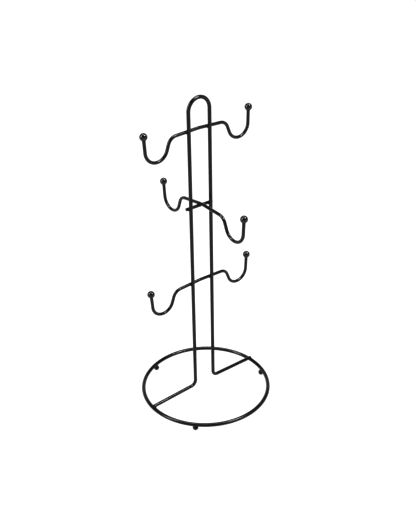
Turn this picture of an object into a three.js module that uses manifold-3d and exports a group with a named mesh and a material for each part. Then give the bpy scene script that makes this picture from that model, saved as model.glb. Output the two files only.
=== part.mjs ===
// A mug tree of bent and welded steel wire: a hairpin frame stands on a base ring with three ball feet,
// and three double hooks hold six mugs. Every piece is its own mesh; the welds that join them are meshes too.
// Sizes are in millimetres, +Z is up, and the origin is on the table under the base ring's centre.
// The frame stands in a plane along X. The upper and lower hooks run along X behind it, and the middle one
// runs along Y.
import * as THREE from "three";
import { mergeVertices } from "three/addons/utils/BufferGeometryUtils.js";
import Module from "manifold-3d";

const wasm = await Module();
wasm.setup();

// Stock
const RING_WIRE = 4.8; // diameter of the base ring's wire, coating included
const WIRE = 4.4; // diameter of the frame's wire
const HOOK_WIRE = 3.9; // diameter of the lighter wire of the hooks and their crossbar
const TIP_BALL = 8.8; // diameter of the balls on the hooks
const FOOT_BALL = 7.0; // diameter of the balls under the ring
const SEAM = 0.3; // clearance between two pieces that meet
const PRESS = 1.0; // how far two crossing wires are pressed into each other as they are welded
const WELD_FLASH = 0.8; // how far a weld's metal stands out past the wire that it joins

// Base
const RING_RADIUS = 80; // of the ring wire's centreline
const FEET = { back_foot: 108, right_foot: -16.5, front_foot: -138 }; // each one's angle in degrees from +X
const FOOT_INSET = 0.8; // how far inside the ring wire's centreline the feet stand
const FOOT_SINK = 1.1; // how far a foot's ball is pressed up over the ring wire
const FOOT_PAD = 3.0; // width of the flat that a foot stands on

// Frame
const POST_SPACING = 28.9; // between the two posts' centrelines
const FRAME_RISE = 377.8; // from the ring's centreline to the hairpin's, at the top
const LEG_SHORT = 0.35; // how far short of the ring wire's centreline a leg is cut
const LEG_SLOPE = 1.6; // degrees that each leg slopes down on its way out
const LEG_BEND = 7; // bend radius between a post and its leg
const FRAME_BACK = 2.8; // the frame stands this far behind the ring's middle

// Double hooks. Heights are from the arm's shoulder line, where the middle run meets the two hooks.
const HOOK_REACH = 57.2; // from an arm's middle to the lowest point of its hook
const HOOK_DEPTH = 23; // from the shoulder line down to that point
const HOOK_BEND = 14.5; // bend radius of the hook
const SHOULDER_BEND = 11.2; // bend radius between the middle run and the hook
const INNER_LEAN = 20.9; // degrees that the hook's inner limb leans in towards the frame
const TIP_RISE = 9.1; // from the shoulder line up to the tip ball's centre
const BOW_BEND = 60; // radius of the slight bend at an arm's middle
const TIP_WELD = 0.7; // thickness of the weld between a wire's end and its ball
const TIP_FLASH = 0.4; // how far that weld stands out past the wire

// For each arm: its shoulder line's drop below the hairpin's top, its shift along its own length, and its
// angles in degrees: its tilt, how far each half of its middle run slopes down (bow), and how far its hooks'
// outer limbs lean out (lean). They are bent and welded by eye, so no two are quite alike.
const ARMS = {
  upper: { drop: 36.9, shift: 1.4, tilt: 1.0, bow: 2.5, lean: 2.2, across: false, ends: ["left", "right"] },
  middle: { drop: 127.1, shift: 1.4, tilt: -0.7, bow: 5.0, lean: 3.7, across: true, ends: ["front", "back"] },
  lower: { drop: 225.8, shift: 0.2, tilt: 0.8, bow: 2.0, lean: 3.7, across: false, ends: ["left", "right"] },
};
const CROSSBAR_END = 4.3; // how far the bar under the middle arm runs on past a post's centreline

// Facets
const SIDES = 12; // of a wire's section
const BEND_STEP = 11; // most degrees between two sections in a bend
const RING_STEPS = 72;
const BALL_SIDES = 18;
const BALL_STEPS = 10;

const radians = THREE.MathUtils.degToRad;
const tan = (degrees) => Math.tan(radians(degrees));
const vector = (x, y, z) => new THREE.Vector3(x, y, z);
const X = vector(1, 0, 0);
const Y = vector(0, 1, 0);
const Z = vector(0, 0, 1);

const ballHeight = (ball, flat) => Math.sqrt(ball ** 2 - flat ** 2) / 2; // its centre to a flat of that width
const crossing = (wire, other) => (wire + other) / 2 - PRESS; // between the centrelines of two crossing wires
const FOOT_DROP = (RING_WIRE + FOOT_BALL) / 2 - FOOT_SINK; // ring centreline to a foot ball's centre
const RING_HEIGHT = FOOT_DROP + ballHeight(FOOT_BALL, FOOT_PAD);
const POSTS = { left: -POST_SPACING / 2, right: POST_SPACING / 2 };
const HOOK_BACK = FRAME_BACK + crossing(WIRE, HOOK_WIRE); // what is welded behind the posts
const TIP_SEAT = HOOK_WIRE + TIP_FLASH; // width of the flat on a tip ball, where the weld holds it
const TIP_GAP = ballHeight(TIP_BALL, TIP_SEAT) + SEAM + TIP_WELD + SEAM; // ball centre to the wire's end

// Materials: black powder coat over steel, a little rougher where it flowed over a weld.
const coat = new THREE.MeshStandardMaterial({ color: 0x17171a, roughness: 0.36, metalness: 0.1 });
const weldCoat = new THREE.MeshStandardMaterial({ color: 0x1b1b1d, roughness: 0.5, metalness: 0.1 });

// A wire's centreline: straight runs between corners, with each inner corner rounded to its bend radius.
// Its stations are the ends of the runs and steps round each bend, so a long straight run costs nothing.
// A sweep asks a curve for evenly spaced points and tangents, and this one answers with its stations.
class BentWire extends THREE.Curve {
  constructor(corners, bends) {
    super();
    this.stations = [];
    const last = corners.length - 1;
    this.add(corners[0], corners[1].clone().sub(corners[0]).normalize());
    for (let i = 1; i < last; i++) this.addBend(corners[i - 1], corners[i], corners[i + 1], bends[i - 1]);
    this.add(corners[last], corners[last].clone().sub(corners[last - 1]).normalize());
  }

  add(point, tangent) {
    const before = this.stations.at(-1);
    if (!before || before.point.distanceTo(point) > 1e-3) this.stations.push({ point, tangent });
  }

  addBend(from, corner, to, radius) {
    const into = corner.clone().sub(from).normalize();
    const out = to.clone().sub(corner).normalize();
    const turn = into.angleTo(out);
    const axis = into.clone().cross(out).normalize();
    const start = corner.clone().addScaledVector(into, -radius * Math.tan(turn / 2));
    const centre = start.clone().addScaledVector(axis.clone().cross(into), radius);
    const steps = Math.ceil(turn / radians(BEND_STEP));
    for (let k = 0; k <= steps; k++) {
      const angle = (turn * k) / steps;
      const point = start.clone().sub(centre).applyAxisAngle(axis, angle).add(centre);
      this.add(point, into.clone().applyAxisAngle(axis, angle));
    }
  }

  station(share) {
    return this.stations[Math.round(share * (this.stations.length - 1))];
  }

  getPointAt(share) {
    return this.station(share).point.clone();
  }

  getTangentAt(share) {
    return this.station(share).tangent.clone();
  }

  // Where the centreline passes a value of x, and which way it runs there.
  passing(x) {
    const i = this.stations.findIndex(({ point }, k) => k > 0 && point.x >= x);
    const [a, b] = [this.stations[i - 1].point, this.stations[i].point];
    const tangent = b.clone().sub(a).normalize();
    return { point: a.clone().addScaledVector(tangent, (x - a.x) / tangent.x), tangent };
  }
}

function wireGeometry(wire, diameter) {
  const rim = Array.from({ length: SIDES }, (_, k) => {
    const angle = (2 * Math.PI * k) / SIDES;
    return new THREE.Vector2(Math.cos(angle), Math.sin(angle)).multiplyScalar(diameter / 2);
  });
  const steps = wire.stations.length - 1;
  return new THREE.ExtrudeGeometry(new THREE.Shape(rim), { steps, bevelEnabled: false, extrudePath: wire });
}

// A profile from the axis back to the axis, running upwards, is turned about Y and then stood up along +Z.
function turned(profile) {
  const clean = profile.filter((p, k) => k === 0 || p.distanceTo(profile[k - 1]) > 1e-6);
  return new THREE.LatheGeometry(clean, BALL_SIDES).rotateX(Math.PI / 2);
}

// A ball with a flat of the given width underneath.
function ballGeometry(ball, flat) {
  const from = -Math.asin((2 * ballHeight(ball, flat)) / ball);
  const rim = Array.from({ length: BALL_STEPS + 1 }, (_, k) => {
    const angle = from + ((Math.PI / 2 - from) * k) / BALL_STEPS;
    return new THREE.Vector2(Math.cos(angle), Math.sin(angle)).multiplyScalar(ball / 2);
  });
  return turned([new THREE.Vector2(0, rim[0].y), ...rim.slice(0, -1), new THREE.Vector2(0, ball / 2)]);
}

function toSolid(geometry) {
  const bare = geometry.clone().deleteAttribute("normal").deleteAttribute("uv");
  const merged = mergeVertices(bare, 1e-4);
  return new wasm.Manifold(
    new wasm.Mesh({
      numProp: 3,
      vertProperties: merged.attributes.position.array,
      triVerts: new Uint32Array(merged.index.array),
    }),
  );
}

// Cuts the rooms of its neighbours out of a piece.
function cut(geometry, ...rooms) {
  const solid = rooms.reduce((rest, room) => rest.subtract(toSolid(room)), toSolid(geometry));
  const mesh = solid.getMesh();
  return new THREE.BufferGeometry()
    .setAttribute("position", new THREE.BufferAttribute(mesh.vertProperties, 3))
    .setIndex(new THREE.BufferAttribute(mesh.triVerts, 1));
}

// The room that a neighbour leaves for a short length of a wire: the wire with the seam round it, along Y.
function wireRoom(wire) {
  const radius = wire / 2 + SEAM;
  return new THREE.CylinderGeometry(radius, radius, 6 * wire, SIDES);
}

// The ring wire's room, round the ring's centre.
function ringRoom() {
  return new THREE.TorusGeometry(RING_RADIUS, RING_WIRE / 2 + SEAM, SIDES, RING_STEPS);
}

// A post's room, in the part's frame.
function postRoom(x, height) {
  return wireRoom(WIRE).rotateX(Math.PI / 2).translate(x, FRAME_BACK, height);
}

function named(name, geometry, material = coat) {
  const mesh = new THREE.Mesh(geometry, material);
  mesh.name = name;
  return mesh;
}

// The metal squeezed out all round a crossing. The upper wire runs along `along`, and `up` points to it from
// the lower one's centreline, at the point `from`.
function crossingWeld(name, [upper, lower], from, along, up) {
  const metal = new THREE.SphereGeometry(Math.max(upper, lower) / 2 + WELD_FLASH, SIDES, SIDES / 2);
  const above = wireRoom(upper).rotateZ(Math.PI / 2).translate(0, 0, (upper - PRESS) / 2);
  const below = wireRoom(lower).translate(0, 0, (PRESS - lower) / 2);
  const weld = named(name, cut(metal.rotateX(Math.PI / 2), above, below), weldCoat);
  weld.setRotationFromMatrix(new THREE.Matrix4().makeBasis(along, up.clone().cross(along), up));
  weld.position.copy(from).addScaledVector(up, (lower - PRESS) / 2);
  return weld;
}

// The base ring, with its feet pressed up under it.
function base() {
  const group = new THREE.Group();
  group.position.z = RING_HEIGHT;
  group.add(named("base_ring", new THREE.TorusGeometry(RING_RADIUS, RING_WIRE / 2, SIDES, RING_STEPS)));
  for (const [name, degrees] of Object.entries(FEET)) {
    const place = vector(RING_RADIUS - FOOT_INSET, 0, -FOOT_DROP).applyAxisAngle(Z, radians(degrees));
    const ball = ballGeometry(FOOT_BALL, FOOT_PAD).translate(...place);
    group.add(named(name, cut(ball, ringRoom())));
  }
  return group;
}

// One wire makes the legs, the posts and the rounded top. Its legs lie on the ring.
function frame() {
  const group = new THREE.Group();
  group.position.set(0, FRAME_BACK, RING_HEIGHT);
  const half = POST_SPACING / 2;
  const overRing = Math.sqrt(RING_RADIUS ** 2 - FRAME_BACK ** 2);
  const legHeight = (x) => crossing(WIRE, RING_WIRE) + (overRing - x) * tan(LEG_SLOPE);
  const cutEnd = overRing - LEG_SHORT;
  const right = [[cutEnd, legHeight(cutEnd)], [half, legHeight(half)], [half, FRAME_RISE]];
  const left = right.map(([x, z]) => [-x, z]);
  const corners = [...left, ...right.reverse()].map(([x, z]) => vector(x, 0, z));
  const wire = wireGeometry(new BentWire(corners, [LEG_BEND, half, half, LEG_BEND]), WIRE);
  group.add(named("frame_wire", cut(wire, ringRoom().translate(0, -FRAME_BACK, 0))));
  for (const [side, name] of [[-1, "left_leg_weld"], [1, "right_leg_weld"]]) {
    const along = vector(1, 0, -side * tan(LEG_SLOPE)).normalize();
    const onRing = vector(side * overRing, 0, 0);
    group.add(crossingWeld(name, [WIRE, RING_WIRE], onRing, along, along.clone().cross(Y)));
  }
  return group;
}

// The corners of an arm's right half, from its shoulder to its hook's outer bend, and its tip ball's centre.
function halfArm({ lean }) {
  const inner = HOOK_REACH - HOOK_BEND * tan((90 - INNER_LEAN) / 2);
  const outer = HOOK_REACH + HOOK_BEND * tan((90 - lean) / 2);
  const shoulder = inner - HOOK_DEPTH * tan(INNER_LEAN);
  const tip = vector(outer + (HOOK_DEPTH + TIP_RISE) * tan(lean), 0, TIP_RISE);
  const flat = [[shoulder, 0], [inner, -HOOK_DEPTH], [outer, -HOOK_DEPTH]];
  return { corners: flat.map(([x, z]) => vector(x, 0, z)), tip };
}

// A whole arm's wire, in its own frame: it runs along X, and its shoulder line is at z = 0.
function armWire({ bow, lean }) {
  const { corners, tip } = halfArm({ lean });
  const outwards = vector(tan(lean), 0, 1).normalize();
  const right = [...corners, tip.clone().addScaledVector(outwards, -TIP_GAP)];
  const left = right.map((p) => vector(-p.x, p.y, p.z)).reverse();
  const middle = vector(0, 0, corners[0].x * tan(bow));
  const bends = [SHOULDER_BEND, HOOK_BEND, HOOK_BEND];
  return new BentWire([...left, middle, ...right], [...bends.toReversed(), BOW_BEND, ...bends]);
}

// An empty group in an arm's place.
function armPlace({ drop, shift, tilt, across }) {
  const group = new THREE.Group();
  group.rotation.set(0, -radians(tilt), across ? Math.PI / 2 : 0, "ZYX");
  group.position.set(across ? 0 : shift, across ? shift : HOOK_BACK, RING_HEIGHT + FRAME_RISE - drop);
  group.updateMatrix();
  return group;
}

// A tip: the ball, and the disc of metal squeezed out between it and the wire's end.
function armTip(name) {
  const group = new THREE.Group();
  const width = HOOK_WIRE / 2 + TIP_FLASH;
  const waist = width - TIP_WELD / 2;
  const profile = [[0, 0], [waist, 0], [width, TIP_WELD / 2], [waist, TIP_WELD], [0, TIP_WELD]];
  const disc = turned(profile.map(([x, z]) => new THREE.Vector2(x, z)));
  const weld = named(`${name}_ball_weld`, disc, weldCoat);
  weld.position.z = SEAM - TIP_GAP;
  group.add(named(`${name}_ball`, ballGeometry(TIP_BALL, TIP_SEAT)), weld);
  return group;
}

// A double hook with a ball at each tip. The ones along X lie behind the posts and are welded to both.
function arm(name) {
  const group = armPlace(ARMS[name]);
  const wire = armWire(ARMS[name]);
  const { shift, tilt, lean, across, ends } = ARMS[name];
  const posts = across ? [] : Object.entries(POSTS);
  const toArm = group.matrix.clone().invert();
  const rooms = posts.map(([, x]) => postRoom(x, group.position.z).applyMatrix4(toArm));
  group.add(named(`${name}_arm`, cut(wireGeometry(wire, HOOK_WIRE), ...rooms)));
  for (const [post, x] of posts) {
    const { point, tangent } = wire.passing((x - shift) / Math.cos(radians(tilt)));
    const onPost = point.setY(-crossing(WIRE, HOOK_WIRE));
    group.add(crossingWeld(`${name}_arm_${post}_weld`, [HOOK_WIRE, WIRE], onPost, tangent, Y));
  }
  const { tip } = halfArm({ lean });
  [-1, 1].forEach((side, k) => {
    const end = armTip(`${name}_${ends[k]}`);
    end.position.set(side * tip.x, 0, tip.z);
    end.rotation.y = side * radians(lean);
    group.add(end);
  });
  return group;
}

// The crossbar lies behind the posts, just under the middle arm, which rests on it.
function crossbar() {
  const place = armPlace(ARMS.middle).matrix;
  const { point, tangent } = armWire(ARMS.middle).passing(HOOK_BACK - ARMS.middle.shift);
  point.applyMatrix4(place);
  tangent.transformDirection(place);
  const up = X.clone().cross(tangent);
  const group = new THREE.Group();
  group.position.set(0, HOOK_BACK, point.z - crossing(HOOK_WIRE, HOOK_WIRE) / up.z);
  group.updateMatrix();
  const toBar = group.matrix.clone().invert();
  const turn = new THREE.Quaternion().setFromUnitVectors(Y, tangent);
  const rooms = [wireRoom(HOOK_WIRE).applyQuaternion(turn).translate(...point)];
  for (const x of Object.values(POSTS)) rooms.push(postRoom(x, group.position.z));
  for (const room of rooms) room.applyMatrix4(toBar);
  const half = POST_SPACING / 2 + CROSSBAR_END;
  const bar = wireGeometry(new BentWire([vector(-half, 0, 0), vector(half, 0, 0)], []), HOOK_WIRE);
  group.add(named("crossbar", cut(bar, ...rooms)));
  for (const [post, x] of Object.entries(POSTS)) {
    const onPost = vector(x, -crossing(WIRE, HOOK_WIRE), 0);
    group.add(crossingWeld(`crossbar_${post}_weld`, [HOOK_WIRE, WIRE], onPost, X, Y));
  }
  group.add(crossingWeld("middle_arm_weld", [HOOK_WIRE, HOOK_WIRE], vector(0, 0, 0), tangent, up));
  return group;
}

const mugTree = new THREE.Group();
mugTree.add(base(), frame(), crossbar(), arm("upper"), arm("middle"), arm("lower"));

export default mugTree;
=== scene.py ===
# %% [markdown]
# # A mug tree of bent wire
#
# This lesson gives a welded wire mug tree its final surface. The sizes come from a finished CAD model, which
# is loaded first. Each faceted CAD piece is then replaced by a smooth one in the same place: wires swept
# along rounded paths, turned balls, and beads of weld metal. Every piece gets a black powder coat made of
# nodes. One Blender unit is one metre.

# %% Load the CAD model
import math

import bmesh
import bpy
import numpy as np
from mathutils import Matrix, Vector


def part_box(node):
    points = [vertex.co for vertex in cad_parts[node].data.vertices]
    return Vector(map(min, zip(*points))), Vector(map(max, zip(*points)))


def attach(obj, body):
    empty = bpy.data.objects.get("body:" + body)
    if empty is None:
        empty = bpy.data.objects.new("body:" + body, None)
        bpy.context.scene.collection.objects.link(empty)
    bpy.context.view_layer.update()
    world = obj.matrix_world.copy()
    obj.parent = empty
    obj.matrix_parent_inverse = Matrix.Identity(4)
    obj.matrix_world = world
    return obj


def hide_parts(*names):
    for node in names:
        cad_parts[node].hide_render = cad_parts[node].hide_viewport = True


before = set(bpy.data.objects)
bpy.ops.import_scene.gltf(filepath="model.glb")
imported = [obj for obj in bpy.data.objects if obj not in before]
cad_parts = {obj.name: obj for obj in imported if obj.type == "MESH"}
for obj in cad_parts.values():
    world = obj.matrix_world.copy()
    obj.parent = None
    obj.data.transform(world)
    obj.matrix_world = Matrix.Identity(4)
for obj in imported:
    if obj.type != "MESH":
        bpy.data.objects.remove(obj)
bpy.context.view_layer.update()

# %% [markdown]
# ## The sizes
#
# Wires, balls and heights can be measured on the CAD model, as the sizes of its nodes' boxes. The bends
# can't, so they are written here as a wire bender would get them: a reach, a depth and a radius for each
# corner. An arm's heights are from its shoulder line, where the middle run meets the two hooks.

# %% Sizes
mm = 0.001
hoop_low, hoop_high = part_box("base_ring")
wire_low, wire_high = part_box("frame_wire")
bar_low, bar_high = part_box("crossbar")
RING_WIRE = hoop_high.z - hoop_low.z
WIRE = wire_high.y - wire_low.y
HOOK_WIRE = bar_high.z - bar_low.z
PRESS = 1.0 * mm  # how far two crossing wires are pressed into each other
RING_HEIGHT = (hoop_high.z + hoop_low.z) / 2
RING_RADIUS = (hoop_high.x - hoop_low.x - RING_WIRE) / 2
FRAME_BACK = (wire_high.y + wire_low.y) / 2

POST_SPACING = 28.9 * mm
FRAME_RISE = 377.8 * mm
LEG_REACH = wire_high.x
LEG_SLOPE = math.radians(1.6)
LEG_BEND = 7 * mm

HOOK_REACH, HOOK_DEPTH, HOOK_BEND = 57.2 * mm, 23 * mm, 14.5 * mm
SHOULDER_BEND, BOW_BEND = 11.2 * mm, 60 * mm
INNER_LEAN = math.radians(20.9)
TIP_RISE = 9.1 * mm
TIP_BALL, FOOT_BALL, FOOT_PAD = 8.8 * mm, 7.0 * mm, 3.0 * mm
ARMS = {
    "upper": dict(drop=36.9, shift=1.4, tilt=1.0, bow=2.5, lean=2.2, ends=("left", "right")),
    "middle": dict(drop=127.1, shift=1.4, tilt=-0.7, bow=5.0, lean=3.7, ends=("front", "back")),
    "lower": dict(drop=225.8, shift=0.2, tilt=0.8, bow=2.0, lean=3.7, ends=("left", "right")),
}


def crossing(wire, other):
    """The distance between the centrelines of two wires that are pressed together."""
    return (wire + other) / 2 - PRESS


HOOK_BACK = FRAME_BACK + crossing(WIRE, HOOK_WIRE)
print(f"wires {RING_WIRE / mm:.2f}, {WIRE / mm:.2f} and {HOOK_WIRE / mm:.2f} mm")
print(f"hoop radius {RING_RADIUS / mm:.1f} mm, {RING_HEIGHT / mm:.2f} mm above the table")

# %% [markdown]
# ## Sums in a shader
#
# A finish is mostly arithmetic on a few noises, and arithmetic reads best as arithmetic. The class below
# wraps an output socket, so that `0.3 + 0.1 * cloud` adds the two Math nodes by itself. The reversed methods
# cover a number on the left, as in `1 - mask`. Every other node comes from one method, `node`, which makes
# its settings before its inputs, because a setting can change which inputs there are. The room's light is a
# shader too, so that method has a class of its own, and a finish adds what only a material needs.


# %% Shader helpers
class Wave:
    """A value in a shader's node tree that takes part in sums."""

    def __init__(self, shader_tree, socket):
        self.shader_tree, self.socket = shader_tree, socket

    def sum(self, operation, *values):
        return self.shader_tree.node("ShaderNodeMath", dict(enumerate(values)), operation=operation)

    def __add__(self, other):
        return self.sum("ADD", self, other)

    def __sub__(self, other):
        return self.sum("SUBTRACT", self, other)

    def __rsub__(self, other):
        return self.sum("SUBTRACT", other, self)

    def __mul__(self, other):
        return self.sum("MULTIPLY", self, other)

    __radd__, __rmul__ = __add__, __mul__

    def band(self, low, high):
        """0 below low, 1 above high, and a smooth step between them."""
        inputs = {"Value": self, "From Min": low, "From Max": high}
        return self.shader_tree.node("ShaderNodeMapRange", inputs, interpolation_type="SMOOTHSTEP")


class ShaderTree:
    """A shader's node tree: node() makes any node, sets it up and gives back one of its outputs."""

    def __init__(self, tree):
        self.tree = tree

    def node(self, kind, inputs=None, output=0, **settings):
        made = self.tree.nodes.new(kind)
        for name, value in settings.items():
            setattr(made, name, value)
        sockets = [s for s in made.inputs if s.enabled]
        for key, value in (inputs or {}).items():
            socket = sockets[key] if isinstance(key, int) else next(s for s in sockets if s.name == key)
            self.feed(socket, value)
        outputs = [s for s in made.outputs if s.enabled]
        found = outputs[output] if isinstance(output, int) else made.outputs[output]
        return Wave(self, found)

    def feed(self, socket, value):
        if isinstance(value, Wave):
            self.tree.links.new(value.socket, socket)
        else:
            socket.default_value = value


class Finish(ShaderTree):
    """A material with a Principled shader. Its constants are set on the shader's own sockets."""

    def __init__(self, name, **constants):
        self.material = bpy.data.materials.new(name)
        self.material.use_nodes = True
        super().__init__(self.material.node_tree)
        self.shader = self.tree.nodes["Principled BSDF"]
        for name, value in constants.items():
            self.shader.inputs[name.replace("_", " ")].default_value = value

    def place(self):
        return self.node("ShaderNodeTexCoord", output="Object")

    def noise(self, size, detail=2.0, roughness=0.5):
        """Noise from 0 to 1 whose lumps are about as wide as size."""
        inputs = {"Vector": self.place(), "Scale": 1 / size, "Detail": detail, "Roughness": roughness}
        return self.node("ShaderNodeTexNoise", inputs)

    def attribute(self, name):
        return self.node("ShaderNodeAttribute", output="Fac", attribute_name=name)

    def blend(self, factor, low, high):
        inputs = {"Factor": factor, "A": low, "B": high}
        return self.node("ShaderNodeMix", inputs, data_type="RGBA")

    def surface(self, colour, roughness, relief, depth):
        """Wires colour, roughness and a relief that is depth metres from its lowest to its highest point."""
        self.feed(self.shader.inputs["Base Color"], colour)
        self.feed(self.shader.inputs["Roughness"], roughness)
        bump = self.node("ShaderNodeBump", {"Height": relief, "Distance": depth, "Strength": 1.0})
        self.feed(self.shader.inputs["Normal"], bump)
        return self.material


# %% [markdown]
# ## The black powder coat
#
# Powder coat is paint that is dusted on dry and melted in an oven. It never flows out quite flat, so a
# reflection in it ripples gently, like orange peel, with waves about a millimetre long and a hundredth of a
# millimetre high. On top of that come a fine grain and a few nibs of dust. The melt runs into the
# corners round a weld, where it is thicker, smoother and shinier. The pieces carry that as an attribute
# called `pool`, from 0 on a plain run to 1 at a joint. The colour is a neutral black that differs by only a
# few per cent from place to place.

# %% Coat materials
DEEP = (0.0030, 0.0031, 0.0034, 1.0)
DUSTY = (0.0060, 0.0060, 0.0064, 1.0)
WORN = (0.060, 0.059, 0.057, 1.0)


def coat(name, roughness, sheen, peel):
    """A black coat: sheen is how strongly it reflects, and peel the height of its orange peel."""
    finish = Finish(name, Specular_IOR_Level=sheen)
    cloud = finish.noise(14 * mm, detail=3)
    peel_waves = finish.noise(1.3 * mm, detail=1)
    grain = finish.noise(0.22 * mm, detail=2, roughness=0.6)
    nibs = finish.noise(2.1 * mm, detail=0).band(0.77, 0.83)
    pool = finish.attribute("pool")
    colour = finish.blend(cloud.band(0.3, 0.75) * (1 - 0.6 * pool), DEEP, DUSTY)
    roughness = roughness + 0.06 * (cloud - 0.5) + 0.05 * (grain - 0.5) - 0.04 * pool + 0.06 * nibs
    relief = (1 - 0.5 * pool) * peel_waves + 0.05 * grain + 0.25 * nibs
    return finish.surface(colour, roughness, relief, peel)


wire_coat = coat("wire_coat", roughness=0.22, sheen=0.32, peel=0.008 * mm)
ball_coat = coat("ball_coat", roughness=0.13, sheen=0.50, peel=0.006 * mm)
print("coats:", wire_coat.name, ball_coat.name)

# %% [markdown]
# A weld has its own skin under the coat: fine ripples from the metal as it froze, and a scatter of pinholes
# where gas came out through the melting powder. It is the roughest surface on the object.
#
# The balls that the tree stands on lose their coat first. Where one slides on the table, the black thins to a
# dull grey of bare steel, and the attribute `wear` says how near a point is to the flat.

# %% Weld and foot materials
def weld_finish():
    finish = Finish("weld_coat", Specular_IOR_Level=0.30)
    lumps = finish.noise(0.9 * mm, detail=4, roughness=0.6)
    pinholes = finish.noise(0.45 * mm, detail=0).band(0.24, 0.16)
    colour = finish.blend(lumps.band(0.35, 0.7), DEEP, DUSTY)
    roughness = 0.40 + 0.20 * (lumps - 0.5) + 0.25 * pinholes
    return finish.surface(colour, roughness, lumps - 0.6 * pinholes, 0.10 * mm)


def foot_finish():
    finish = Finish("foot_coat", Specular_IOR_Level=0.30)
    peel_waves = finish.noise(1.1 * mm, detail=1)
    scuffs = finish.noise(0.35 * mm, detail=4, roughness=0.65)
    bare = (finish.attribute("wear") * 1.4 - 0.7 * scuffs).band(0.35, 0.75)
    colour = finish.blend(bare, DEEP, WORN)
    roughness = 0.26 + 0.10 * (scuffs - 0.5) + 0.22 * bare
    finish.feed(finish.shader.inputs["Metallic"], 0.75 * bare)
    return finish.surface(colour, roughness, peel_waves - 0.5 * bare, 0.02 * mm)


weld_coat, foot_coat = weld_finish(), foot_finish()
print("finishes:", weld_coat.name, foot_coat.name)

# %% [markdown]
# ## Wires that follow a path
#
# A bent wire is a line of straight runs with each corner rounded, and a round section swept along it. That is
# a rule, so Geometry Nodes make it. The tree takes a bare line of corner points. Each point carries its own
# bend radius in an attribute, Fillet Curve rounds it, and Curve to Mesh sweeps a circle along the result.
# Resampling puts the rings close together, because the attributes that the coat reads need points to sit on.


# %% Node tree helpers
class Tree:
    """A Geometry Nodes tree under construction. The modifier's inputs are listed as name: (type, default)."""

    def __init__(self, name, inputs):
        self.group = bpy.data.node_groups.new(name, "GeometryNodeTree")
        face = self.group.interface
        face.new_socket(name="Geometry", in_out="INPUT", socket_type="NodeSocketGeometry")
        for title, (kind, default) in inputs.items():
            socket = face.new_socket(name=title, in_out="INPUT", socket_type=f"NodeSocket{kind}")
            if default is not None:
                socket.default_value = default
        face.new_socket(name="Geometry", in_out="OUTPUT", socket_type="NodeSocketGeometry")
        self.given = self.group.nodes.new("NodeGroupInput").outputs
        self.result = self.group.nodes.new("NodeGroupOutput").inputs[0]

    def node(self, kind, inputs=None, output=0, **settings):
        made = self.group.nodes.new(kind)
        for name, value in settings.items():
            setattr(made, name, value)
        sockets = [s for s in made.inputs if s.enabled]
        for key, value in (inputs or {}).items():
            socket = sockets[key] if isinstance(key, int) else next(s for s in sockets if s.name == key)
            if isinstance(value, bpy.types.NodeSocket):
                self.group.links.new(value, socket)
            else:
                socket.default_value = value
        return [s for s in made.outputs if s.enabled][output]

    def finish(self, geometry):
        real = self.node("GeometryNodeRealizeInstances", {"Geometry": geometry})
        coated = self.node("GeometryNodeSetMaterial", {"Geometry": real, "Material": self.given["Material"]})
        self.group.links.new(coated, self.result)
        return self.group


def grow(name, tree, line, closed=False, radii=None, **inputs):
    """Runs a tree on a line of points and gives back the result as a plain mesh object."""
    count = len(line)
    edges = [(k, (k + 1) % count) for k in range(count if closed else count - 1)]
    mesh = bpy.data.meshes.new(name)
    mesh.from_pydata([tuple(p) for p in line], edges, [])
    if radii is not None:
        mesh.attributes.new("bend", "FLOAT", "POINT").data.foreach_set("value", radii)
    piece = bpy.data.objects.new(name, mesh)
    bpy.context.scene.collection.objects.link(piece)
    modifier = piece.modifiers.new("shape", "NODES")
    modifier.node_group = tree
    sockets = {s.name: s.identifier for s in tree.interface.items_tree if s.in_out == "INPUT"}
    for title, value in inputs.items():
        modifier[sockets[title]] = value
    graph = bpy.context.evaluated_depsgraph_get()
    piece.data = bpy.data.meshes.new_from_object(piece.evaluated_get(graph))
    piece.modifiers.clear()
    piece.data.name = name
    return piece


# %% The bent wire tree
def bent_wire_tree():
    tree = Tree("bent_wire", {
        "Diameter": ("Float", 4 * mm), "Sides": ("Int", 32), "Spacing": ("Float", 1.2 * mm),
        "Corner": ("Int", 24), "Material": ("Material", None),
    })
    line = tree.node("GeometryNodeMeshToCurve", {"Mesh": tree.given["Geometry"]})
    bend = tree.node("GeometryNodeInputNamedAttribute", {"Name": "bend"}, data_type="FLOAT")
    inputs = {"Curve": line, "Count": tree.given["Corner"], "Radius": bend, "Limit Radius": True}
    rounded = tree.node("GeometryNodeFilletCurve", inputs, mode="POLY")
    even = tree.node("GeometryNodeResampleCurve", {"Curve": rounded, "Length": tree.given["Spacing"]},
                     mode="LENGTH")
    radius = tree.node("ShaderNodeMath", {0: tree.given["Diameter"], 1: 0.5}, operation="MULTIPLY")
    section = tree.node("GeometryNodeCurvePrimitiveCircle",
                        {"Resolution": tree.given["Sides"], "Radius": radius}, mode="RADIUS")
    swept = tree.node("GeometryNodeCurveToMesh",
                      {"Curve": even, "Profile Curve": section, "Fill Caps": True})
    smooth = tree.node("GeometryNodeSetShadeSmooth", {"Geometry": swept})
    return tree.finish(smooth)


bent_wire = bent_wire_tree()
print("tree:", bent_wire.name, "with", len(bent_wire.nodes), "nodes")

# %% [markdown]
# A sheared wire end isn't sharp under its coat: the powder draws back from the edge and rounds it. The swept
# mesh has a flat cap at each end, and a small bevel round the cap does the rest. `round_ends` also points
# the faces outwards, which a sweep along a line doesn't promise. `settle` then works out how near each point
# is to a joint, gives the piece its coat, hangs it on the root body and hides the CAD node that it replaces.

# %% Finish a piece
POOL_REACH = 4 * mm  # how far from a joint the coat has pooled
joints = []  # where two wires are welded


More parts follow.
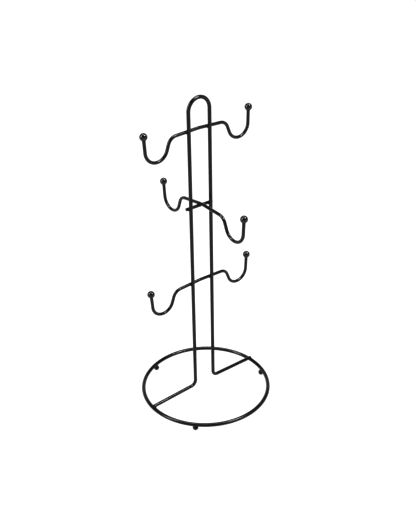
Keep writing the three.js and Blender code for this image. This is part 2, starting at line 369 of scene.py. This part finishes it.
def settle(piece, material, *nodes, slot):
    """Gives a finished piece its coat and its coat's attribute, hangs it on the root body and hides the CAD
    nodes it replaces.
    """
    mesh = piece.data
    points = np.empty(len(mesh.vertices) * 3)
    mesh.vertices.foreach_get("co", points)
    points = points.reshape(-1, 3)
    nearest = np.min([np.linalg.norm(points - np.array(j), axis=1) for j in joints], axis=0)
    pool = np.exp(-((nearest / POOL_REACH) ** 2))
    mesh.attributes.new("pool", "FLOAT", "POINT").data.foreach_set("value", pool)
    mesh.materials.clear()
    mesh.materials.append(material)
    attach(piece, "root")
    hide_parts(*nodes)
    print(f"{piece.name}: {len(mesh.polygons)} faces")
    return piece


def round_ends(piece, size=0.35 * mm):
    """Bevels the rims of a wire's flat ends."""
    work = bmesh.new()
    work.from_mesh(piece.data)
    bmesh.ops.recalc_face_normals(work, faces=work.faces)
    caps = [face for face in work.faces if len(face.verts) > 4]
    rims = list({edge for cap in caps for edge in cap.edges})
    if rims:
        bmesh.ops.bevel(work, geom=rims, offset=size, segments=4, profile=0.5, affect="EDGES")
    for face in work.faces:
        face.smooth = len(face.verts) <= 4
    work.to_mesh(piece.data)
    work.free()
    return piece


# %% [markdown]
# ## The hoop, the frame and the hooks
#
# Their paths are worked out from the sizes above. The frame is one wire: out along the left leg, up the left
# post, round the top and down again. An arm is drawn flat, as a left half mirrored from a right half, and a
# matrix then lays it behind the posts or turns it a quarter turn across them. The joints' places are worked
# out first, because every piece near them asks how close they are.


# %% Paths
def arm_half(arm):
    """Corner points of an arm's right half, and the tip ball's centre, in the arm's own XZ plane."""
    lean = math.radians(arm["lean"])
    inner = HOOK_REACH - HOOK_BEND * math.tan((math.pi / 2 - INNER_LEAN) / 2)
    outer = HOOK_REACH + HOOK_BEND * math.tan((math.pi / 2 - lean) / 2)
    shoulder = inner - HOOK_DEPTH * math.tan(INNER_LEAN)
    tip = Vector((outer + (HOOK_DEPTH + TIP_RISE) * math.tan(lean), 0, TIP_RISE))
    return [(shoulder, 0), (inner, -HOOK_DEPTH), (outer, -HOOK_DEPTH)], tip, lean


def arm_place(name):
    arm = ARMS[name]
    shift, height = arm["shift"] * mm, RING_HEIGHT + FRAME_RISE - arm["drop"] * mm
    across = name == "middle"
    spot = (0, shift, height) if across else (shift, HOOK_BACK, height)
    turn = Matrix.Rotation(math.pi / 2 if across else 0, 4, "Z")
    return Matrix.Translation(spot) @ turn @ Matrix.Rotation(-math.radians(arm["tilt"]), 4, "Y")


def arm_line(name, seat):
    """An arm's corner points from tip to tip, each with its bend radius, ending seat short of the balls."""
    arm = ARMS[name]
    corners, tip, lean = arm_half(arm)
    end = tip - Vector((math.sin(lean), 0, math.cos(lean))) * seat
    half = [*corners, (end.x, end.z)]
    bends = [SHOULDER_BEND, HOOK_BEND, HOOK_BEND, 0]
    crown = (0, half[0][0] * math.tan(math.radians(arm["bow"])))
    flat = [(-x, z) for x, z in reversed(half)] + [crown] + half
    place = arm_place(name)
    return [place @ Vector((x, 0, z)) for x, z in flat], [*reversed(bends), BOW_BEND, *bends]


def arm_at(name, reach):
    """A point on the middle run of an arm, and the run's direction there."""
    arm = ARMS[name]
    corners, _, _ = arm_half(arm)
    slope = math.tan(math.radians(arm["bow"])) * (1 if reach < 0 else -1)
    height = abs(abs(reach) - corners[0][0]) * abs(slope)
    turn = arm_place(name)
    return turn @ Vector((reach, 0, height)), (turn.to_3x3() @ Vector((1, 0, slope))).normalized()


half_gap = POST_SPACING / 2
over_hoop = math.sqrt(RING_RADIUS**2 - FRAME_BACK**2)
hoop_line = [(RING_RADIUS * math.cos(a), RING_RADIUS * math.sin(a), RING_HEIGHT)
             for a in np.linspace(0, 2 * math.pi, 256, endpoint=False)]


def leg_height(x):
    return RING_HEIGHT + crossing(WIRE, RING_WIRE) + (over_hoop - x) * math.tan(LEG_SLOPE)


side = [(LEG_REACH, leg_height(LEG_REACH)), (half_gap, leg_height(half_gap)),
        (half_gap, RING_HEIGHT + FRAME_RISE)]
frame_line = [(-x, FRAME_BACK, z) for x, z in side] + [(x, FRAME_BACK, z) for x, z in reversed(side)]
frame_bends = [0, LEG_BEND, half_gap * 0.9999, half_gap * 0.9999, LEG_BEND, 0]
print("frame corners:", len(frame_line), "arm corners:", len(arm_line("upper", 0)[0]))

# %% [markdown]
# Each joint is a pair of wires: where they touch, which way the upper one runs, and the direction from the
# lower wire to the upper one. The crossbar's height is read off the CAD model, and the middle arm that rests
# on it gives the joint on top its direction.

# %% Joints
X, Y = Vector((1, 0, 0)), Vector((0, 1, 0))
crossings = {}


def join(name, upper, lower, below, along, up, cut=None):
    """Notes a joint. below is on the lower wire's centreline.

    Where the upper wire ends at the joint, cut says which way along it the end is, and how far.
    """
    contact = Vector(below) + up * (lower - PRESS) / 2
    crossings[name] = dict(upper=upper, lower=lower, contact=contact, along=along, up=up, cut=cut)
    joints.append(contact)


for side_name, s in (("left", -1), ("right", 1)):
    along = Vector((1, 0, -s * math.tan(LEG_SLOPE))).normalized()
    under_leg = (s * over_hoop, FRAME_BACK, RING_HEIGHT)
    cut = (s, LEG_REACH - over_hoop)
    join(f"{side_name}_leg_weld", WIRE, RING_WIRE, under_leg, along, along.cross(Y), cut)
    for name in ("upper", "lower"):
        reach = (s * half_gap - ARMS[name]["shift"] * mm) / math.cos(math.radians(ARMS[name]["tilt"]))
        point, along = arm_at(name, reach)
        post = (s * half_gap, FRAME_BACK, point.z)
        join(f"{name}_arm_{side_name}_weld", HOOK_WIRE, WIRE, post, along, Y)

_, along = arm_at("middle", HOOK_BACK - ARMS["middle"]["shift"] * mm)
bar_up = X.cross(along)
BAR_HEIGHT = (bar_high.z + bar_low.z) / 2
BAR_REACH = bar_high.x
for side_name, s in (("left", -1), ("right", 1)):
    join(f"crossbar_{side_name}_weld", HOOK_WIRE, WIRE, (s * half_gap, FRAME_BACK, BAR_HEIGHT), X, Y)
join("middle_arm_weld", HOOK_WIRE, HOOK_WIRE, (0, HOOK_BACK, BAR_HEIGHT), along, bar_up)
print("joints:", len(joints), "crossbar height:", round(BAR_HEIGHT / mm, 2), "mm")

# %% Make the wires
WIRE_LOOK = dict(Sides=36, Spacing=1.0 * mm, Corner=32, Material=wire_coat)
no_bends = [0.0] * len(hoop_line)
hoop = grow("hoop", bent_wire, hoop_line, closed=True, radii=no_bends, Diameter=RING_WIRE, **WIRE_LOOK)
settle(round_ends(hoop), wire_coat, "base_ring", slot="frame_coat")
hairpin = grow("hairpin", bent_wire, frame_line, radii=frame_bends, Diameter=WIRE, **WIRE_LOOK)
settle(round_ends(hairpin), wire_coat, "frame_wire", slot="frame_coat")
bar_line = [(-BAR_REACH, HOOK_BACK, BAR_HEIGHT), (BAR_REACH, HOOK_BACK, BAR_HEIGHT)]
bar = grow("carrying_bar", bent_wire, bar_line, radii=[0.0, 0.0], Diameter=HOOK_WIRE, **WIRE_LOOK)
settle(round_ends(bar), wire_coat, "crossbar", slot="hook_coat")
TIP_SEAT = 3.2 * mm  # a ball's centre to the end of the wire inside it
for name in ARMS:
    line, bends = arm_line(name, TIP_SEAT)
    hooks = grow(f"{name}_hooks", bent_wire, line, radii=bends, Diameter=HOOK_WIRE, **WIRE_LOOK)
    settle(round_ends(hooks), wire_coat, f"{name}_arm", slot="hook_coat")

# %% [markdown]
# ## The balls
#
# A ball is welded to a wire's end by pressing the two together while they glow. The ball keeps its shape, but
# a short neck forms where it meets the wire. A turned profile says that exactly: an arc of the sphere, a
# hollow arc that flows into the wire, and back to the axis inside it. `turn_profile` spins it round the axis
# and closes both poles.


# %% Turned shapes
def turn_profile(name, profile, place, segments=72):
    """Turns (radius, height) points, from the axis to the axis, about the axis of a place."""
    angles = np.linspace(0, 2 * math.pi, segments, endpoint=False)
    rings = profile[1:-1]
    points = [place @ Vector((r * math.cos(a), r * math.sin(a), h)) for r, h in rings for a in angles]
    faces = []
    for k in range(len(rings) - 1):
        low, high = k * segments, (k + 1) * segments
        faces += [(low + i, low + (i + 1) % segments, high + (i + 1) % segments, high + i)
                  for i in range(segments)]
    for pole, ring in ((profile[0], 0), (profile[-1], (len(rings) - 1) * segments)):
        points.append(place @ Vector((0, 0, pole[1])))
        faces += [(len(points) - 1, ring + i, ring + (i + 1) % segments) for i in range(segments)]
    mesh = bpy.data.meshes.new(name)
    mesh.from_pydata([tuple(p) for p in points], [], faces)
    piece = bpy.data.objects.new(name, mesh)
    bpy.context.scene.collection.objects.link(piece)
    work = bmesh.new()
    work.from_mesh(mesh)
    bmesh.ops.recalc_face_normals(work, faces=work.faces)
    for face in work.faces:
        face.smooth = True
    work.to_mesh(mesh)
    work.free()
    return piece


def arc(centre, radius, start, stop, count):
    return [(centre[0] + radius * math.cos(a), centre[1] + radius * math.sin(a))
            for a in np.linspace(start, stop, count)]


def necked_ball(ball, wire, neck):
    """The profile of a ball on a wire's end, from inside the wire to the top of the ball."""
    reach = ball / 2 + neck
    centre = (wire / 2 + neck, -math.sqrt(reach**2 - (wire / 2 + neck) ** 2))
    meet = math.atan2(-centre[1], -centre[0])
    hollow = arc(centre, neck, math.pi, meet, 12)
    crown = arc((0, 0), ball / 2, meet - math.pi, math.pi / 2, 48)
    return [(0, centre[1]), *hollow, *crown[1:-1], (0, ball / 2)]


NECK = 1.1 * mm  # radius of the hollow between a ball and its wire
tips = {}
for name, arm in ARMS.items():
    _, tip, lean = arm_half(arm)
    for s, end in zip((-1, 1), arm["ends"]):
        spot = Matrix.Translation((s * tip.x, 0, tip.z)) @ Matrix.Rotation(s * lean, 4, "Y")
        tips[f"{name}_{end}"] = arm_place(name) @ spot
tip_profile = necked_ball(TIP_BALL, HOOK_WIRE + 0.1 * mm, NECK)
for name, place in tips.items():
    settle(turn_profile(f"{name}_tip", tip_profile, place), ball_coat, f"{name}_ball", slot="ball_coat")

# %% [markdown]
# The feet are smaller balls, pressed up under the hoop. Each has a small flat, which the tree's weight and
# the table have polished. The wear runs out from the flat, so it is worked out from the height of each point.

# %% Feet
WEAR_REACH = 0.5 * mm  # how far up a ball its wear has spread
for name in ("back_foot", "right_foot", "front_foot"):
    low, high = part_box(name)
    rise = math.sqrt(FOOT_BALL**2 - FOOT_PAD**2) / 2
    centre = Vector(((low.x + high.x) / 2, (low.y + high.y) / 2, low.z + rise))
    depth = centre.z - low.z  # of the flat under the centre, in the vector's own rounding
    flat = -math.asin(depth / (FOOT_BALL / 2))
    profile = [(0, -depth), (FOOT_PAD / 4, -depth),
               *arc((0, 0), FOOT_BALL / 2, flat, math.pi / 2, 40)[:-1], (0, FOOT_BALL / 2)]
    foot = turn_profile(f"{name}_ball", profile, Matrix.Translation(centre))
    heights = np.array([v.co.z for v in foot.data.vertices])
    wear = np.exp(-((heights / WEAR_REACH) ** 2))
    foot.data.attributes.new("wear", "FLOAT", "POINT").data.foreach_set("value", wear)
    settle(foot, foot_coat, name, slot="ball_coat")

# %% [markdown]
# ## Weld beads
#
# Two wires are welded by squeezing them together with a current through them. The hot metal comes out of the
# gap all round and freezes as a bead. Its path is a rule too: go round the contact, and at each angle find
# the distance at which the gap between the two round wires is just as wide as the bead. The result is a
# saddle-shaped loop. A leg is cut off just over the hoop, so there the loop is drawn in to the cut end. A
# second tree sweeps a section along the loop whose thickness wanders with noise, so the bead is lumpy, with a
# fixed seed for each joint.


# %% The bead tree
BEAD_GAP = 0.8 * mm  # the gap between two wires that a bead's middle fills
BEAD = 1.15 * mm
TIP_BEAD = 0.55 * mm
LUMP_SIZE = mm / 0.9


def bead_tree():
    tree = Tree("weld_bead", {
        "Thickness": ("Float", 1 * mm), "Lumps": ("Float", 0.3), "Seed": ("Float", 0.0),
        "Material": ("Material", None),
    })
    loop = tree.node("GeometryNodeMeshToCurve", {"Mesh": tree.given["Geometry"]})
    place = tree.node("GeometryNodeInputPosition")
    inputs = {"Vector": place, "W": tree.given["Seed"], "Scale": 1 / LUMP_SIZE, "Detail": 1.0}
    noise = tree.node("ShaderNodeTexNoise", inputs, noise_dimensions="4D")
    centred = tree.node("ShaderNodeMath", {0: noise, 1: 0.5}, operation="SUBTRACT")
    swing = tree.node("ShaderNodeMath", {0: centred, 1: tree.given["Lumps"]}, operation="MULTIPLY")
    share = tree.node("ShaderNodeMath", {0: swing, 1: 1.0}, operation="ADD")
    lumpy = tree.node("GeometryNodeSetCurveRadius", {"Curve": loop, "Radius": share})
    radius = tree.node("ShaderNodeMath", {0: tree.given["Thickness"], 1: 0.5}, operation="MULTIPLY")
    section = tree.node("GeometryNodeCurvePrimitiveCircle",
                        {"Resolution": 16, "Radius": radius}, mode="RADIUS")
    swept = tree.node("GeometryNodeCurveToMesh", {"Curve": lumpy, "Profile Curve": section, "Scale": share})
    smooth = tree.node("GeometryNodeSetShadeSmooth", {"Geometry": swept})
    return tree.finish(smooth)


weld_bead = bead_tree()


def groove(upper, lower, width, cut=None, count=96):
    """The loop round a crossing where the gap between the wires is as wide as width.

    Where the upper wire is cut off, the loop is drawn in to the cut end, half a width out from it.
    """
    top, bottom = (upper - PRESS) / 2, (PRESS - lower) / 2
    loop = []
    for angle in np.linspace(0, 2 * math.pi, count, endpoint=False):
        ray = np.linspace(0.5, 2 * max(upper, lower) / mm, 800) * mm / 2
        x, y = ray * math.cos(angle), ray * math.sin(angle)
        ceiling = top - np.sqrt(np.maximum((upper / 2) ** 2 - y**2, 0))
        ground = bottom + np.sqrt(np.maximum((lower / 2) ** 2 - x**2, 0))
        k = int(np.argmax(ceiling - ground >= width))
        point = Vector((x[k], y[k], (ceiling[k] + ground[k]) / 2))
        if cut is not None:
            outward, reach = cut
            edge = reach + width / 2
            if outward * point.x > edge:
                top_of_lower = bottom + math.sqrt((lower / 2) ** 2 - edge**2)
                point = Vector((outward * edge, y[k], top_of_lower + width / 2))
        loop.append(point)
    return loop


for seed, (name, joint) in enumerate(crossings.items()):
    across = joint["up"].cross(joint["along"])
    turn = Matrix((joint["along"], across, joint["up"])).transposed().to_4x4()
    place = Matrix.Translation(joint["contact"]) @ turn
    loop = [place @ p for p in groove(joint["upper"], joint["lower"], BEAD_GAP, joint["cut"])]
    bead = grow(f"{name}_bead", weld_bead, loop, closed=True, Thickness=BEAD, Lumps=0.5,
                Seed=float(seed), Material=weld_coat)
    settle(bead, weld_coat, name, slot="weld_coat")

# %% [markdown]
# The tips have a thinner bead, a plain ring round the wire at the foot of the neck. The same tree makes it.

# %% Tip beads
foot_of_neck = tip_profile[1][1] + 0.15 * mm
for seed, (name, place) in enumerate(tips.items()):
    ring = [place @ Vector((HOOK_WIRE / 2 * math.cos(a), HOOK_WIRE / 2 * math.sin(a), foot_of_neck))
            for a in np.linspace(0, 2 * math.pi, 64, endpoint=False)]
    bead = grow(f"{name}_tip_bead", weld_bead, ring, closed=True, Thickness=TIP_BEAD, Lumps=0.8,
                Seed=20.0 + seed, Material=weld_coat)
    settle(bead, weld_coat, f"{name}_ball_weld", slot="weld_coat")

# %% [markdown]
# ## The studio
#
# A black object on white needs two things from its light. The floor has to come out white, with only a
# breath of shadow, so it is a light table: a sheet of opal acrylic that glows by itself. And the wires need
# something bright to reflect, or they turn into flat black lines.
#
# The room is dark except for a white wall behind the table, which goes on as a low white rim all round. It is
# painted on the world, as a brightness for each direction. The wires at the sides of the hoop lie almost in
# line with the view, and they reflect that wall. The slightly low display gamma gives the deep blacks of a
# print.

# %% Light table and room
TABLE_RADIUS = 12
WALL_AZIMUTH = math.radians(62)
RIM_HEIGHT, WALL_HEIGHT, WALL_FADE = 0.10, 0.50, 0.08  # as sines of the angle above the table
WALL_EDGE, WALL_FULL = 0.42, 0.68  # as cosines of the angle from the wall's middle
DIM, BRIGHT = 0.10, 1.50
bpy.ops.mesh.primitive_circle_add(vertices=96, radius=TABLE_RADIUS, fill_type="NGON")
floor = bpy.context.object
floor.name = "light_table"
opal = Finish("opal_acrylic", Specular_IOR_Level=0.1, Emission_Color=(1, 1, 1, 1), Emission_Strength=0.93)
haze = opal.noise(0.02, detail=4)
tone = opal.blend(haze, (0.115, 0.115, 0.114, 1), (0.125, 0.125, 0.124, 1))
opal.surface(tone, 0.85 + 0.05 * haze, haze, 0.02 * mm)
floor.data.materials.append(opal.material)

scene = bpy.context.scene
scene.world = bpy.data.worlds.new("studio")
scene.world.use_nodes = True
room = ShaderTree(scene.world.node_tree)
direction = room.node("ShaderNodeTexCoord", output="Generated")
height = room.node("ShaderNodeSeparateXYZ", {"Vector": direction}, output="Z")
behind = (math.cos(WALL_AZIMUTH), math.sin(WALL_AZIMUTH), 0)
facing = room.node("ShaderNodeVectorMath", {0: direction, 1: behind}, output="Value", operation="DOT_PRODUCT")
wall_top = RIM_HEIGHT + (WALL_HEIGHT - RIM_HEIGHT) * facing.band(WALL_EDGE, WALL_FULL)
wall = 1 - (height - wall_top).band(0.0, WALL_FADE)
background = room.tree.nodes["Background"]
room.feed(background.inputs["Strength"], DIM + (BRIGHT - DIM) * wall)
background.inputs["Color"].default_value = (1, 1, 1, 1)
scene.view_settings.view_transform = "Standard"
scene.view_settings.gamma = 0.75
print(f"table radius {TABLE_RADIUS} m, wall to {math.degrees(math.asin(WALL_HEIGHT)):.0f} degrees up")

# %% [markdown]
# The main light is a sun: its rays are parallel, so the table is as bright far away as it is near, and a wide
# sun angle makes it soft. Then come two softboxes, one over the camera's right shoulder and a tall one at the
# left. Each draws a highlight on every ball and a streak along the wires. An area light's power is given in
# watts, so it is worked out here from how bright its face should look.


# %% Lights
TREE_MIDDLE = Vector((0, 0, 0.19))


def aim_from(name, light, direction, distance=1.5):
    """Hangs a light in a direction from the middle of the tree, facing it."""
    holder = bpy.data.objects.new(name, light)
    holder.location = TREE_MIDDLE + Vector(direction).normalized() * distance
    holder.rotation_euler = (TREE_MIDDLE - holder.location).to_track_quat("-Z", "Y").to_euler()
    scene.collection.objects.link(holder)


main_light = bpy.data.lights.new("main_light", "SUN")
main_light.energy, main_light.angle = 2.2, math.radians(30)
aim_from("main_light", main_light, (0.05, 0.20, 0.96))
for name, direction, width, length, radiance in (
    ("front_box", (0.28, -0.48, 0.83), 0.42, 0.42, 60),
    ("left_strip", (-0.80, 0.22, 0.56), 0.30, 1.0, 24),
):
    box = bpy.data.lights.new(name, "AREA")
    box.shape, box.size, box.size_y = "RECTANGLE", width, length
    box.energy = radiance * math.pi * width * length
    aim_from(name, box, direction)

# %% [markdown]
# ## The camera
#
# The camera looks down at the tree from the front left, a little over nine hundred millimetres away, with a
# slight turn about its own axis. Its place follows from those few values.

# %% Camera
AZIMUTH, ELEVATION, ROLL = math.radians(-38.62), math.radians(28.45), math.radians(-0.92)
DISTANCE, LENS = 908.1 * mm, 53.28
AIM_RIGHT, AIM_UP = 5.36 * mm, 181.96 * mm  # from the hoop's middle to the point in the middle of the view
AIM = Vector((AIM_RIGHT * math.cos(AZIMUTH), AIM_RIGHT * math.sin(AZIMUTH), RING_HEIGHT + AIM_UP))
right = Vector((math.cos(AZIMUTH), math.sin(AZIMUTH), 0))
ahead = Vector((-math.sin(AZIMUTH) * math.cos(ELEVATION), math.cos(AZIMUTH) * math.cos(ELEVATION),
                -math.sin(ELEVATION)))
above = right.cross(ahead)
camera = bpy.data.objects.new("camera", bpy.data.cameras.new("camera"))
camera.data.lens, camera.data.sensor_width = LENS, 36.0
turned_right = right * math.cos(ROLL) + above * math.sin(ROLL)
turned_up = above * math.cos(ROLL) - right * math.sin(ROLL)
axes = Matrix((turned_right, turned_up, -ahead)).transposed().to_4x4()
camera.matrix_world = Matrix.Translation(AIM - ahead * DISTANCE) @ axes
scene.collection.objects.link(camera)
scene.camera = camera
print("camera at", tuple(round(v, 3) for v in camera.matrix_world.translation))
